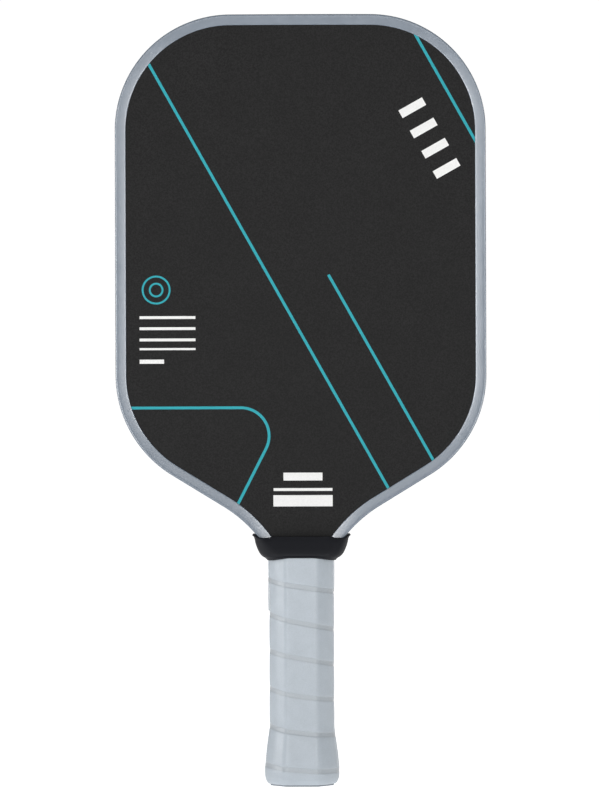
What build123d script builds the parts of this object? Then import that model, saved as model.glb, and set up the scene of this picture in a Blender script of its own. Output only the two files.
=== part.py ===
from build123d import *
import math
import os

# Pickleball paddle with an elongated head: a honeycomb panel between two carbon face sheets,
# a U-shaped edge guard, a bevelled handle built from two half shells over the panel's tang,
# a flared butt cap, a spiral cushion grip and a rubber collar at the throat.
#
# Frame: Z runs from the butt to the crown of the head, X across the head, and the front face
# looks along -Y. The origin is the centre of the butt cap's flat end, at Z = 0.
# All sizes are in millimetres.

# ---------------------------------------------------------------- head outline
LENGTH = 411.5  # butt end to crown
WIDTH = 198.0  # across the edge guard
CROWN_RADIUS = 8000.0  # the top edge is all but straight
CORNER_RADIUS = 61.8
SIDE_STRAIGHT = 130.4
SHOULDER_RADIUS = 63.0
SHOULDER_TURN = math.radians(58.5)  # how far the outline turns at the shoulder
SHOULDER_STRAIGHT = 32.0
NECK_RADIUS = 71.6  # the hollow curve into the handle

# ---------------------------------------------------------------- panel layers
PANEL_THICKNESS = 16.0
SKIN_THICKNESS = 0.6  # each cured carbon face sheet
FILM_THICKNESS = 0.15  # resin film between face sheet and honeycomb
FOAM_WIDTH = 8.0  # foam wall round the honeycomb
WRAP_THICKNESS = 0.4  # carbon strip round the panel's edge
TANG_HALF_WIDTH = 11.0
TANG_CORE_HALF_WIDTH = 7.0
TANG_END_Z = 4.0
CELL_PITCH = 8.0  # honeycomb, across the flats
CELL_WALL = 0.5
CELL_EDGE_MARGIN = 0.6  # solid rim left at the honeycomb's outline

# ---------------------------------------------------------------- edge guard
GUARD_WEB = 1.3
GUARD_TAPE = 0.3
GUARD_LIP_WIDTH = 5.6  # seen from the front
GUARD_LIP_THICKNESS = 0.9
GUARD_CORNER_RADIUS = 2.0
GUARD_LIP_RADIUS = 0.4
GUARD_END_Z = 127.5  # the strip's two ends, under the collar
GUARD_TAPE_CLEARANCE = 0.5  # the tape stops short of the channel's corners

# ---------------------------------------------------------------- handle
GRIP_HALF_WIDTH = 17.2
GRIP_HALF_DEPTH = 15.0
GRIP_BEVEL = 8.45
GRIP_THICKNESS = 1.9
GRIP_END_Z = 126.0
ADHESIVE_THICKNESS = 0.15
GLUE_THICKNESS = 0.2  # between the tang and each half shell
SHELL_START_Z = 3.6
SHELL_END_Z = 127.0
SHELL_RAMP_Z = 121.0  # above this the half shells slope down to the face
SHELL_RAMP_END_DEPTH = 9.2
SHELL_SIDE_END_Z = 119.5  # the side walls stop where the neck has widened through them
FINISHING_TAPE_START_Z = 121.5
FINISHING_TAPE_THICKNESS = 0.2

# ---------------------------------------------------------------- butt
FLARE_START_Z = 31.0
FLARE_WIDEST_Z = 9.0
FLARE_GROWTH = 2.7
# Height and growth of the grip's outside where it rolls in under the butt.
BUTT_ROLL = [(0.8, -0.2), (2.0, 1.1), (5.0, 2.35)]
CAP_RIM_SETBACK = 0.1  # the cap's bottom rim sits this far inside the grip's lower edge
CAP_END_CHAMFER = 0.3
CAP_TOP_Z = 27.0
CAP_FLOOR = 3.5
CAP_CLEARANCE = 0.05
BADGE_RADIUS = 9.3
BADGE_RECESS_RADIUS = 9.5
BADGE_RECESS_DEPTH = 0.9
BADGE_SETBACK = 0.15  # the badge sits this far inside the flat end
STAPLE_Z = 16.0
STAPLE_HALF_SPAN = 4.2
STAPLE_WIRE_WIDTH = 0.8
STAPLE_WIRE_THICKNESS = 0.6
STAPLE_SETBACK = 0.25  # the crown lies this far below the cap's surface
STAPLE_TIP_X = 8.4

# ---------------------------------------------------------------- collar
COLLAR_WALL = 1.25
# Height, half width, half depth and corner radius of the collar's outside, from the hem up.
COLLAR_SECTIONS = [
    (120.7, 18.75, 16.80, 9.0),
    (122.5, 20.90, 17.00, 9.0),
    (125.6, 23.20, 16.90, 8.8),
    (129.2, 24.55, 14.40, 6.9),
    (132.0, 25.30, 11.60, 5.4),
    (133.8, 26.40, 10.90, 5.2),
]

HALF_PANEL = PANEL_THICKNESS / 2
GUARD_HALF_DEPTH = HALF_PANEL + GUARD_LIP_THICKNESS
WRAP_INSET = GUARD_WEB + GUARD_TAPE
SKIN_INSET = WRAP_INSET + WRAP_THICKNESS
CORE_INSET = SKIN_INSET + FOAM_WIDTH
CORE_HALF_DEPTH = HALF_PANEL - SKIN_THICKNESS - FILM_THICKNESS
BEVEL_GROWTH = 2 - math.sqrt(2)  # how much a 45 degree bevel grows when its octagon grows by 1
OVERCUT = 5.0  # how far a cutter runs past what it cuts


# ---------------------------------------------------------------- outlines in the XZ plane
def on(x, z):
    """A point of the XZ plane."""
    return Vector(x, 0, z)


def arc_centres():
    """Centres of the corner, shoulder and neck arcs on the right side, and the crown's half turn."""
    half = WIDTH / 2
    crown_turn = math.asin((half - CORNER_RADIUS) / (CROWN_RADIUS - CORNER_RADIUS))
    crown = on(0, LENGTH - CROWN_RADIUS)
    corner = crown + on(math.sin(crown_turn), math.cos(crown_turn)) * (CROWN_RADIUS - CORNER_RADIUS)
    shoulder = on(half - SHOULDER_RADIUS, corner.Z - SIDE_STRAIGHT)
    outward = on(math.cos(SHOULDER_TURN), -math.sin(SHOULDER_TURN))
    downhill = on(-math.sin(SHOULDER_TURN), -math.cos(SHOULDER_TURN))
    neck = shoulder + outward * (SHOULDER_RADIUS + NECK_RADIUS) + downhill * SHOULDER_STRAIGHT
    return crown, corner, shoulder, neck, crown_turn


def arc(centre, radius, start, end):
    """Arc in the XZ plane between two angles, which are measured from +X towards +Z."""

    def at(angle):
        return centre + on(math.cos(angle), math.sin(angle)) * radius

    return ThreePointArc(at(start), at((start + end) / 2), at(end))


def head_edges(inset, neck_end):
    """Edges from the right end of the neck over the crown to the left end, drawn inset.

    The inset is measured inwards from the edge guard's outside. neck_end is the angle, above
    the level of the neck arc's centre, at which that arc stops.
    """
    crown, corner, shoulder, neck, crown_turn = arc_centres()
    corner_end = math.pi / 2 - crown_turn
    neck_arc = arc(neck, NECK_RADIUS + inset, math.pi - neck_end, math.pi - SHOULDER_TURN)
    shoulder_arc = arc(shoulder, SHOULDER_RADIUS - inset, -SHOULDER_TURN, 0)
    corner_arc = arc(corner, CORNER_RADIUS - inset, 0, corner_end)
    crown_arc = arc(crown, CROWN_RADIUS - inset, corner_end, math.pi - corner_end)
    right = [
        neck_arc,
        Line(neck_arc @ 1, shoulder_arc @ 0),
        shoulder_arc,
        Line(shoulder_arc @ 1, corner_arc @ 0),
        corner_arc,
    ]
    left = [mirror(edge, about=Plane.YZ) for edge in reversed(right)]
    return [edge.edge() for edge in (*right, crown_arc, *left)]


def level_neck_end(inset, z):
    """The neck arc's end angle where it meets height z."""
    neck = arc_centres()[3]
    return math.asin((z - neck.Z) / (NECK_RADIUS + inset))


def head_outline(inset, end_z, tang_half_width=None):
    """The closed outline of the head.

    With no tang the neck arc is cut level at end_z. With a tang the arc runs down to the
    tang's straight side, which ends at end_z.
    """
    if tang_half_width is None:
        edges = head_edges(inset, level_neck_end(inset, end_z))
    else:
        neck = arc_centres()[3]
        edges = head_edges(inset, math.acos((neck.X - tang_half_width) / (NECK_RADIUS + inset)))
        tang = Line(on(tang_half_width, end_z), edges[0] @ 0).edge()
        edges = [tang, *edges, mirror(tang, about=Plane.YZ).edge()]
    start = edges[0] @ 0
    bottom = Line(on(-start.X, start.Z), start).edge()
    return Wire([bottom, *edges])


def slab(outline, y_low, y_high):
    """The flat plate inside a closed outline, from y_low to y_high."""
    face = Face(outline).moved(Location((0, y_low, 0)))
    return Solid.extrude(face, Vector(0, y_high - y_low, 0))


def box_between(low, high):
    """The box from its lowest corner to its highest corner."""
    size = [b - a for a, b in zip(low, high)]
    return Pos(*low) * Box(*size, align=(Align.MIN, Align.MIN, Align.MIN))


# ---------------------------------------------------------------- panel
def skin_outline():
    """Outline of the face sheets, resin films and foam wall."""
    return head_outline(SKIN_INSET, TANG_END_Z, TANG_HALF_WIDTH - WRAP_THICKNESS)


def core_outline():
    """Outline of the honeycomb, inside the foam wall."""
    return head_outline(CORE_INSET, TANG_END_Z, TANG_CORE_HALF_WIDTH)


def hexagon(centre):
    """One honeycomb opening, with two flats along Z."""
    corner_radius = (CELL_PITCH - CELL_WALL) / math.sqrt(3)
    corners = []
    for k in range(6):
        angle = math.radians(60 * k + 30)
        corners.append(centre + on(math.cos(angle), math.sin(angle)) * corner_radius)
    return Wire.make_polygon(corners, close=True)


def honeycomb_core():
    """Polypropylene honeycomb: one sheet with every whole cell that fits inside its outline."""
    outline = core_outline()
    sheet = Face(outline)
    rim = (CELL_PITCH - CELL_WALL) / math.sqrt(3) + CELL_EDGE_MARGIN
    row_pitch = CELL_PITCH * math.sqrt(3) / 2
    cells = []
    for row in range(int(LENGTH / row_pitch) + 1):
        z = TANG_END_Z + rim + row * row_pitch
        shift = CELL_PITCH / 2 if row % 2 else 0
        columns = int(WIDTH / 2 / CELL_PITCH) + 1
        for column in range(-columns, columns + 1):
            centre = on(column * CELL_PITCH + shift, z)
            if sheet.is_inside(centre) and outline.distance_to(centre) > rim:
                cells.append(hexagon(centre))
    face = Face(outline, cells).moved(Location((0, -CORE_HALF_DEPTH, 0)))
    return Solid.extrude(face, Vector(0, 2 * CORE_HALF_DEPTH, 0))


def perimeter_foam():
    """Foam wall round the honeycomb, down both sides of the tang."""
    outside = slab(skin_outline(), -CORE_HALF_DEPTH, CORE_HALF_DEPTH)
    inside = slab(core_outline(), -CORE_HALF_DEPTH, CORE_HALF_DEPTH)
    return outside - inside - staple_legs()


def face_sheet(side):
    """Carbon face sheet; side is -1 at the front and 1 at the back."""
    return slab(skin_outline(), *sorted((side * HALF_PANEL, side * (HALF_PANEL - SKIN_THICKNESS))))


def bond_film(side):
    """Resin film under a face sheet."""
    outer = HALF_PANEL - SKIN_THICKNESS
    return slab(skin_outline(), *sorted((side * outer, side * (outer - FILM_THICKNESS))))


def edge_wrap():
    """Thin carbon strip that closes the panel's edge all round, open only at the tang's end."""
    outside = slab(head_outline(WRAP_INSET, TANG_END_Z, TANG_HALF_WIDTH), -HALF_PANEL, HALF_PANEL)
    return outside - slab(skin_outline(), -HALF_PANEL, HALF_PANEL) - staple_legs()


# ---------------------------------------------------------------- edge guard
def guard_section():
    """U-shaped section: X runs through the panel's thickness, and Y inwards from the outside."""
    outside = Rectangle(2 * GUARD_HALF_DEPTH, GUARD_LIP_WIDTH, align=(Align.CENTER, Align.MIN))
    outside = fillet(outside.vertices().group_by(Axis.Y)[0], GUARD_CORNER_RADIUS)
    outside = fillet(outside.vertices().group_by(Axis.Y)[-1], GUARD_LIP_RADIUS)
    channel = Rectangle(2 * HALF_PANEL, GUARD_LIP_WIDTH, align=(Align.CENTER, Align.MIN))
    return outside - Pos(0, GUARD_WEB) * channel


def edge_guard():
    """U-shaped guard strip: a web with rounded corners outside, and a lip over each face."""
    path = Wire(head_edges(0, level_neck_end(0, GUARD_END_Z)))
    start = Plane(origin=path @ 0, x_dir=Vector(0, 1, 0), z_dir=path % 0)
    return sweep(start * guard_section(), path=path)


def edge_guard_tape():
    """Double-sided tape between the panel's edge and the guard's web."""
    half = HALF_PANEL - GUARD_TAPE_CLEARANCE
    outside = slab(head_outline(GUARD_WEB, GUARD_END_Z), -half, half)
    return outside - slab(head_outline(WRAP_INSET, GUARD_END_Z - OVERCUT), -half, half)


# ---------------------------------------------------------------- handle
def handle_section(z, growth):
    """Bevelled octagon of the handle at height z, grown evenly from the grip's outside."""
    half_width = GRIP_HALF_WIDTH + growth
    half_depth = GRIP_HALF_DEPTH + growth
    bevel = GRIP_BEVEL + BEVEL_GROWTH * growth
    quarter = [(half_width, half_depth - bevel), (half_width - bevel, half_depth)]
    corners = []
    for sign_x, sign_y in ((1, 1), (-1, 1), (-1, -1), (1, -1)):
        ordered = quarter if sign_x * sign_y > 0 else quarter[::-1]
        corners += [Vector(sign_x * x, sign_y * y, z) for x, y in ordered]
    return Face(Wire.make_polygon(corners, close=True))


def handle_loft(sections):
    """Straight-sided solid through handle sections, given as (height, growth)."""
    return loft([handle_section(z, growth) for z, growth in sections], ruled=True)


def flare(z):
    """Growth of the grip's outside at height z on the flare."""
    return FLARE_GROWTH * (FLARE_START_Z - z) / (FLARE_START_Z - FLARE_WIDEST_Z)


def staple(side):
    """One wire staple across the joint of the half shells; side is -1 or 1 along X."""
    cap_surface = GRIP_HALF_WIDTH + flare(STAPLE_Z) - GRIP_THICKNESS
    crown_outer = cap_surface - STAPLE_SETBACK
    crown_inner = crown_outer - STAPLE_WIRE_THICKNESS
    low_z = STAPLE_Z - STAPLE_WIRE_WIDTH / 2
    high_z = STAPLE_Z + STAPLE_WIRE_WIDTH / 2
    wire = box_between(
        (crown_inner, -STAPLE_HALF_SPAN, low_z), (crown_outer, STAPLE_HALF_SPAN, high_z)
    )
    for end in (-1, 1):
        y_low, y_high = sorted((end * STAPLE_HALF_SPAN, end * (STAPLE_HALF_SPAN - STAPLE_WIRE_THICKNESS)))
        wire += box_between((STAPLE_TIP_X, y_low, low_z), (crown_inner, y_high, high_z))
    return wire if side > 0 else mirror(wire, about=Plane.YZ)


def staple_legs():
    """Both staples, as the cutter for the holes that they make."""
    return Compound([staple(-1).solid(), staple(1).solid()])


def panel_room(half_depth):
    """The panel's tang and neck as a cutter that starts below the tang's end."""
    outline = head_outline(WRAP_INSET, SHELL_START_Z - OVERCUT, TANG_HALF_WIDTH)
    return slab(outline, -half_depth, half_depth)


def handle_shell(side):
    """Moulded half of the handle that sits over one face of the tang; side is -1 front, 1 back."""
    outer = handle_loft([(SHELL_START_Z, -GRIP_THICKNESS), (SHELL_END_Z, -GRIP_THICKNESS)])
    pocket_depth = HALF_PANEL + GLUE_THICKNESS
    pocket = panel_room(pocket_depth)
    open_sides = box_between(
        (-WIDTH, -pocket_depth, SHELL_SIDE_END_Z), (WIDTH, pocket_depth, SHELL_END_Z + OVERCUT)
    )
    y_low, y_high = sorted((0, -side * WIDTH))
    far_half = box_between((-WIDTH, y_low, 0), (WIDTH, y_high, LENGTH))
    full_depth = GRIP_HALF_DEPTH - GRIP_THICKNESS
    ramp = Wire.make_polygon(
        [
            Vector(-WIDTH, side * full_depth, SHELL_RAMP_Z),
            Vector(-WIDTH, side * SHELL_RAMP_END_DEPTH, SHELL_END_Z),
            Vector(-WIDTH, side * (full_depth + OVERCUT), SHELL_END_Z),
        ],
        close=True,
    )
    ramp_cut = Solid.extrude(Face(ramp), Vector(2 * WIDTH, 0, 0))
    return outer - pocket - open_sides - far_half - ramp_cut - staple_legs()


def shell_glue(side):
    """Adhesive layer between a face of the tang and its half shell."""
    near, far = sorted((side * HALF_PANEL, side * (HALF_PANEL + GLUE_THICKNESS)))
    half = TANG_HALF_WIDTH - WRAP_THICKNESS
    return box_between((-half, near, TANG_END_Z), (half, far, SHELL_END_Z))


def butt_cap_body():
    """Outside of the butt cap: a rim that stops the grip's lower edge, and the flare inside it."""
    rim_top, grip_growth = BUTT_ROLL[0]
    rim_growth = grip_growth - CAP_RIM_SETBACK
    rim = handle_loft(
        [(0, rim_growth - CAP_END_CHAMFER), (CAP_END_CHAMFER, rim_growth), (rim_top, rim_growth)]
    )
    flared = handle_loft(
        [
            *[(z, growth - GRIP_THICKNESS) for z, growth in BUTT_ROLL],
            (FLARE_WIDEST_Z, FLARE_GROWTH - GRIP_THICKNESS),
            (CAP_TOP_Z, flare(CAP_TOP_Z) - GRIP_THICKNESS),
        ]
    )
    return rim + flared


def butt_cap():
    """Flared cap over the handle's end, with a recess for the badge."""
    socket = handle_loft(
        [(CAP_FLOOR, CAP_CLEARANCE - GRIP_THICKNESS), (CAP_TOP_Z, CAP_CLEARANCE - GRIP_THICKNESS)]
    )
    recess = Cylinder(
        BADGE_RECESS_RADIUS, BADGE_RECESS_DEPTH, align=(Align.CENTER, Align.CENTER, Align.MIN)
    )
    cap = butt_cap_body() - socket - recess - staple_legs()
    crown_inner = GRIP_HALF_WIDTH + flare(STAPLE_Z) - GRIP_THICKNESS - STAPLE_SETBACK
    for side in (-1, 1):
        x_low, x_high = sorted((side * crown_inner, side * WIDTH))
        cap -= box_between(
            (x_low, -STAPLE_HALF_SPAN, STAPLE_Z - STAPLE_WIRE_WIDTH / 2),
            (x_high, STAPLE_HALF_SPAN, STAPLE_Z + STAPLE_WIRE_WIDTH / 2),
        )
    return cap


def butt_badge():
    """Plain disc in the cap's end, with a softened rim."""
    thickness = BADGE_RECESS_DEPTH - BADGE_SETBACK
    disc = Pos(0, 0, BADGE_SETBACK) * Cylinder(
        BADGE_RADIUS, thickness, align=(Align.CENTER, Align.CENTER, Align.MIN)
    )
    return fillet(disc.edges().filter_by(GeomType.CIRCLE).sort_by(Axis.Z)[:1], thickness / 2)


def grip_adhesive():
    """Self-adhesive backing of the grip, on the straight part of the handle."""
    outer = handle_loft(
        [(CAP_TOP_Z, ADHESIVE_THICKNESS - GRIP_THICKNESS), (GRIP_END_Z, ADHESIVE_THICKNESS - GRIP_THICKNESS)]
    )
    inner = handle_loft([(CAP_TOP_Z, -GRIP_THICKNESS), (GRIP_END_Z, -GRIP_THICKNESS)])
    return outer - inner - panel_room(HALF_PANEL)


def grip_wrap():
    """Cushion grip, as one sleeve of the wound grip's outer shape."""
    outer = handle_loft(
        [*BUTT_ROLL, (FLARE_WIDEST_Z, FLARE_GROWTH), (FLARE_START_Z, 0), (GRIP_END_Z, 0)]
    )
    bore = handle_loft(
        [(CAP_FLOOR, ADHESIVE_THICKNESS - GRIP_THICKNESS), (GRIP_END_Z, ADHESIVE_THICKNESS - GRIP_THICKNESS)]
    )
    return outer - butt_cap_body() - bore - panel_room(HALF_PANEL)


def grip_finishing_tape():
    """Thin tape that holds the grip's top end, hidden by the collar."""
    outer = handle_loft(
        [(FINISHING_TAPE_START_Z, FINISHING_TAPE_THICKNESS), (GRIP_END_Z, FINISHING_TAPE_THICKNESS)]
    )
    inner = handle_loft([(FINISHING_TAPE_START_Z, 0), (GRIP_END_Z, 0)])
    return outer - inner - panel_room(HALF_PANEL)


def collar_loft(shrink):
    """Solid through the collar's sections, made smaller all round by shrink."""
    faces = []
    for z, half_width, half_depth, radius in COLLAR_SECTIONS:
        section = RectangleRounded(
            2 * (half_width - shrink), 2 * (half_depth - shrink), radius - shrink
        )
        faces.append((Pos(0, 0, z) * section).face())
    return loft(faces, ruled=True)


def grip_collar():
    """Stretched rubber collar: snug on the grip below, and flared over the throat above."""
    return collar_loft(0) - collar_loft(COLLAR_WALL)


# ---------------------------------------------------------------- write the parts
NODES = {
    "honeycomb_core": honeycomb_core,
    "perimeter_foam": perimeter_foam,
    "front_face_sheet": lambda: face_sheet(-1),
    "back_face_sheet": lambda: face_sheet(1),
    "front_bond_film": lambda: bond_film(-1),
    "back_bond_film": lambda: bond_film(1),
    "edge_wrap": edge_wrap,
    "edge_guard_tape": edge_guard_tape,
    "edge_guard": edge_guard,
    "handle_shell_front": lambda: handle_shell(-1),
    "handle_shell_back": lambda: handle_shell(1),
    "front_shell_glue": lambda: shell_glue(-1),
    "back_shell_glue": lambda: shell_glue(1),
    "butt_cap": butt_cap,
    "butt_cap_staples": staple_legs,
    "butt_badge": butt_badge,
    "grip_adhesive": grip_adhesive,
    "grip_wrap": grip_wrap,
    "grip_finishing_tape": grip_finishing_tape,
    "grip_collar": grip_collar,
}

os.makedirs("parts", exist_ok=True)
for name, make in NODES.items():
    export_step(make(), f"parts/{name}.step")
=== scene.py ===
import math

import bmesh
import bpy
import numpy as np
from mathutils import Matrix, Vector


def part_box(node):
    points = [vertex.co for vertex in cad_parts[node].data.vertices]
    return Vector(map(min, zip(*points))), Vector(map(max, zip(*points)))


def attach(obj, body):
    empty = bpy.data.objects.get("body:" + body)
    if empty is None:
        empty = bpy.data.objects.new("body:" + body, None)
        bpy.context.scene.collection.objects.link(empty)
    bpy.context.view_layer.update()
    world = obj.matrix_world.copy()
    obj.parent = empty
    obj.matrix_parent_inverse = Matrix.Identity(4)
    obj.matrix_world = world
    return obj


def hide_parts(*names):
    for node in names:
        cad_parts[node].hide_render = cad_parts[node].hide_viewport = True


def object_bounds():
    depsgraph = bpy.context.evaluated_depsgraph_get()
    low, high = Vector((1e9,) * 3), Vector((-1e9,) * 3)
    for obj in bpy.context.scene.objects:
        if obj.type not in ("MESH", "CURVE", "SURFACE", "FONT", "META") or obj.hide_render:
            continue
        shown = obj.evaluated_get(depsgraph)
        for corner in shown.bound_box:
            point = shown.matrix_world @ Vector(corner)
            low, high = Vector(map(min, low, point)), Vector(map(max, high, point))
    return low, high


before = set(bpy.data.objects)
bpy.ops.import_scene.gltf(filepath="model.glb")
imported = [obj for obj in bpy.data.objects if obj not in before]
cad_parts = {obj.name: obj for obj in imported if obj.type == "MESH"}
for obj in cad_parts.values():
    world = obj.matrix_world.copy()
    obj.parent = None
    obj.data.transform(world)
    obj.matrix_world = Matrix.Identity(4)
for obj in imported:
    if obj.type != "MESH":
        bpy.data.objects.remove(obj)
cad_low, cad_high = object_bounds()

# Pickleball paddle. All sizes are in metres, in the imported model's frame: Z runs from the butt
# to the crown of the head, X across the head, and the front face looks along -Y.
MM = 0.001

# ---------------------------------------------------------------- places read from the frame
guard_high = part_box("edge_guard")[1]
LENGTH = guard_high.z
HALF_WIDTH = guard_high.x
GUARD_Y = guard_high.y
FACE_Y = -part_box("front_face_sheet")[0].y
GRIP_TOP_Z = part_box("grip_wrap")[1].z

# ---------------------------------------------------------------- head outline, as in the CAD
CROWN_RADIUS = 8000 * MM
CORNER_RADIUS = 61.8 * MM
SIDE_STRAIGHT = 130.4 * MM
SHOULDER_RADIUS = 63.0 * MM
SHOULDER_TURN = math.radians(58.5)
SHOULDER_STRAIGHT = 32.0 * MM
NECK_RADIUS = 71.6 * MM
GUARD_END_Z = 127.5 * MM
GUARD_LIP = 5.8 * MM  # from the outside to the lip's inner edge
PATH_SPACING = 2.0 * MM


def arc_centres():
    """Centres of the crown, corner, shoulder and neck arcs in XZ, and the crown's half turn."""
    turn = math.asin((HALF_WIDTH - CORNER_RADIUS) / (CROWN_RADIUS - CORNER_RADIUS))
    crown = np.array([0, LENGTH - CROWN_RADIUS])
    reach = CROWN_RADIUS - CORNER_RADIUS
    corner = crown + reach * np.array([math.sin(turn), math.cos(turn)])
    shoulder = np.array([HALF_WIDTH - SHOULDER_RADIUS, corner[1] - SIDE_STRAIGHT])
    outward = np.array([math.cos(SHOULDER_TURN), -math.sin(SHOULDER_TURN)])
    downhill = np.array([-math.sin(SHOULDER_TURN), -math.cos(SHOULDER_TURN)])
    neck = shoulder + outward * (SHOULDER_RADIUS + NECK_RADIUS) + downhill * SHOULDER_STRAIGHT
    return crown, corner, shoulder, neck, turn


def head_path():
    """Points on the guard's outside and their outward normals, from the right neck to the left."""
    crown, corner, shoulder, neck, turn = arc_centres()
    neck_end = math.asin((GUARD_END_Z - neck[1]) / NECK_RADIUS)
    corner_end = math.pi / 2 - turn
    arcs = [
        (neck, NECK_RADIUS, math.pi - neck_end, math.pi - SHOULDER_TURN, -1),
        (shoulder, SHOULDER_RADIUS, -SHOULDER_TURN, 0, 1),
        (corner, CORNER_RADIUS, 0, corner_end, 1),
        (crown, CROWN_RADIUS, corner_end, math.pi / 2, 1),
    ]
    points, normals = [], []
    for centre, radius, start, end, side in arcs:
        angles = np.linspace(start, end, math.ceil(abs(end - start) * radius / PATH_SPACING) + 1)
        rays = np.column_stack([np.cos(angles), np.sin(angles)])
        arc = centre + rays * radius
        if points:
            last, gap = points[-1], arc[0] - points[-1]
            steps = math.ceil(np.linalg.norm(gap) / PATH_SPACING)
            for k in range(1, steps):
                points.append(last + gap * k / steps)
                normals.append(normals[-1])
        first = 1 if points and np.linalg.norm(arc[0] - points[-1]) < PATH_SPACING / 10 else 0
        points += list(arc[first:])
        normals += list(rays[first:] * side)
    points, normals = np.array(points), np.array(normals)
    flip = np.array([-1, 1])
    points = np.vstack([points, points[-2::-1] * flip])
    normals = np.vstack([normals, normals[-2::-1] * flip])
    return points, normals


PATH, PATH_NORMALS = head_path()


# ---------------------------------------------------------------- mesh helpers
MERGE_DISTANCE = 0.2e-6  # vertices nearer than this are one vertex


def direction(angle):
    """Unit vector at an angle from the first axis of its plane towards the second."""
    return np.array([math.cos(angle), math.sin(angle)])


def rounded_polygon(corners, radii, steps):
    """A closed polygon with each corner rounded to its radius: points and outward normals.

    The corners run anticlockwise. A corner with radius 0 stays sharp and has one point.
    """
    corners = [np.array(c, float) for c in corners]
    points, normals = [], []
    for k, corner in enumerate(corners):
        into = corner - corners[k - 1]
        out = corners[(k + 1) % len(corners)] - corner
        into, out = into / np.linalg.norm(into), out / np.linalg.norm(out)
        normal_in, normal_out = np.array([into[1], -into[0]]), np.array([out[1], -out[0]])
        if radii[k] == 0:
            middle = normal_in + normal_out
            points.append(corner)
            normals.append(middle / np.linalg.norm(middle))
            continue
        turn = math.atan2(into[0] * out[1] - into[1] * out[0], into @ out)
        cut = radii[k] * math.tan(abs(turn) / 2)
        side = 1 if turn > 0 else -1
        centre = corner - into * cut - normal_in * radii[k] * side
        for step in range(steps + 1):
            angle = turn * step / steps
            c, s = math.cos(angle), math.sin(angle)
            normal = np.array([normal_in[0] * c - normal_in[1] * s, normal_in[0] * s + normal_in[1] * c])
            points.append(centre + normal * radii[k] * side)
            normals.append(normal)
    return np.array(points), np.array(normals)


def refine(points, normals, spacing, crown=0.0):
    """Adds points along a closed polygon's longer runs, with normals blended between its own.

    A slanting run bulges by crown at its middle.
    """
    new_points, new_normals = [], []
    for k in range(len(points)):
        a, b = points[k], points[(k + 1) % len(points)]
        na, nb = normals[k], normals[(k + 1) % len(points)]
        steps = max(1, math.ceil(np.linalg.norm(b - a) / spacing))
        for step in range(steps):
            share = step / steps
            normal = na * (1 - share) + nb * share
            normal /= np.linalg.norm(normal)
            bulge = crown * 4 * share * (1 - share) * abs(normal[0] * normal[1]) * 2
            new_points.append(a * (1 - share) + b * share + normal * bulge)
            new_normals.append(normal)
    return np.array(new_points), np.array(new_normals)


def add_piece(name, vertices, faces, material, sharp_degrees=40):
    """Makes a closed, smooth-shaded mesh object that rides on the paddle's one body."""
    mesh = bpy.data.meshes.new(name)
    mesh.from_pydata([tuple(map(float, v)) for v in vertices], [], faces)
    built = bmesh.new()
    built.from_mesh(mesh)
    bmesh.ops.remove_doubles(built, verts=built.verts, dist=MERGE_DISTANCE)
    bmesh.ops.dissolve_degenerate(built, edges=built.edges, dist=MERGE_DISTANCE)
    bmesh.ops.recalc_face_normals(built, faces=built.faces)
    built.to_mesh(mesh)
    built.free()
    mesh.polygons.foreach_set("use_smooth", [True] * len(mesh.polygons))
    mesh.set_sharp_from_angle(angle=math.radians(sharp_degrees))
    mesh.materials.append(material)
    piece = bpy.data.objects.new(name, mesh)
    bpy.context.scene.collection.objects.link(piece)
    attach(piece, "root")
    return piece


def paint(piece, name, vertices, values):
    """Stores a number on each vertex, by the place of the vertex that it was made from."""

    def key(place):
        return tuple(np.array(place, np.float32).tolist())

    kept = {key(place): value for place, value in zip(vertices, values)}
    attribute = piece.data.attributes.new(name, "FLOAT", "POINT")
    for k, vertex in enumerate(piece.data.vertices):
        attribute.data[k].value = kept.get(key(vertex.co), 0.0)


def ring_faces(ring_count, ring_size, closed_rings=False, first=0):
    """Quads between successive rings of ring_size vertices, whose first vertex has the index first."""
    faces = []
    for r in range(ring_count if closed_rings else ring_count - 1):
        a, b = first + r * ring_size, first + (r + 1) % ring_count * ring_size
        for k in range(ring_size):
            nxt = (k + 1) % ring_size
            faces.append((a + k, a + nxt, b + nxt, b + k))
    return faces


# ---------------------------------------------------------------- materials
def new_material(name, **sockets):
    """A Principled material with its uniform values set on the shader's own sockets."""
    material = bpy.data.materials.new(name)
    material.use_nodes = True
    shader = material.node_tree.nodes["Principled BSDF"]
    for socket, value in sockets.items():
        shader.inputs[socket.replace("_", " ")].default_value = value
    return material, material.node_tree, shader


def add_node(tree, kind, inputs=(), **settings):
    """A shader node with settings, and inputs that are values or other nodes' outputs."""
    node = tree.nodes.new(kind)
    for setting, value in settings.items():
        setattr(node, setting, value)
    for socket, value in dict(inputs).items():
        if isinstance(value, bpy.types.NodeSocket):
            tree.links.new(value, node.inputs[socket])
        else:
            node.inputs[socket].default_value = value
    return node


def object_noise(tree, size, detail=2.0, roughness=0.5, stretch=(1, 1, 1)):
    """Noise whose features are about size metres across in the paddle's own frame."""
    place = add_node(tree, "ShaderNodeTexCoord").outputs["Object"]
    scaled = add_node(tree, "ShaderNodeMapping", {"Vector": place, "Scale": stretch}).outputs["Vector"]
    inputs = {"Vector": scaled, "Scale": 1 / size, "Detail": detail, "Roughness": roughness}
    return add_node(tree, "ShaderNodeTexNoise", inputs).outputs["Fac"]


def ramp(tree, factor, low, high, start=0.3, end=0.7):
    """Colour that goes from low to high as factor goes from start to end."""
    node = add_node(tree, "ShaderNodeValToRGB", {"Fac": factor})
    node.color_ramp.elements[0].position = start
    node.color_ramp.elements[0].color = (*low, 1)
    node.color_ramp.elements[1].position = end
    node.color_ramp.elements[1].color = (*high, 1)
    return node.outputs["Color"]


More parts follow.
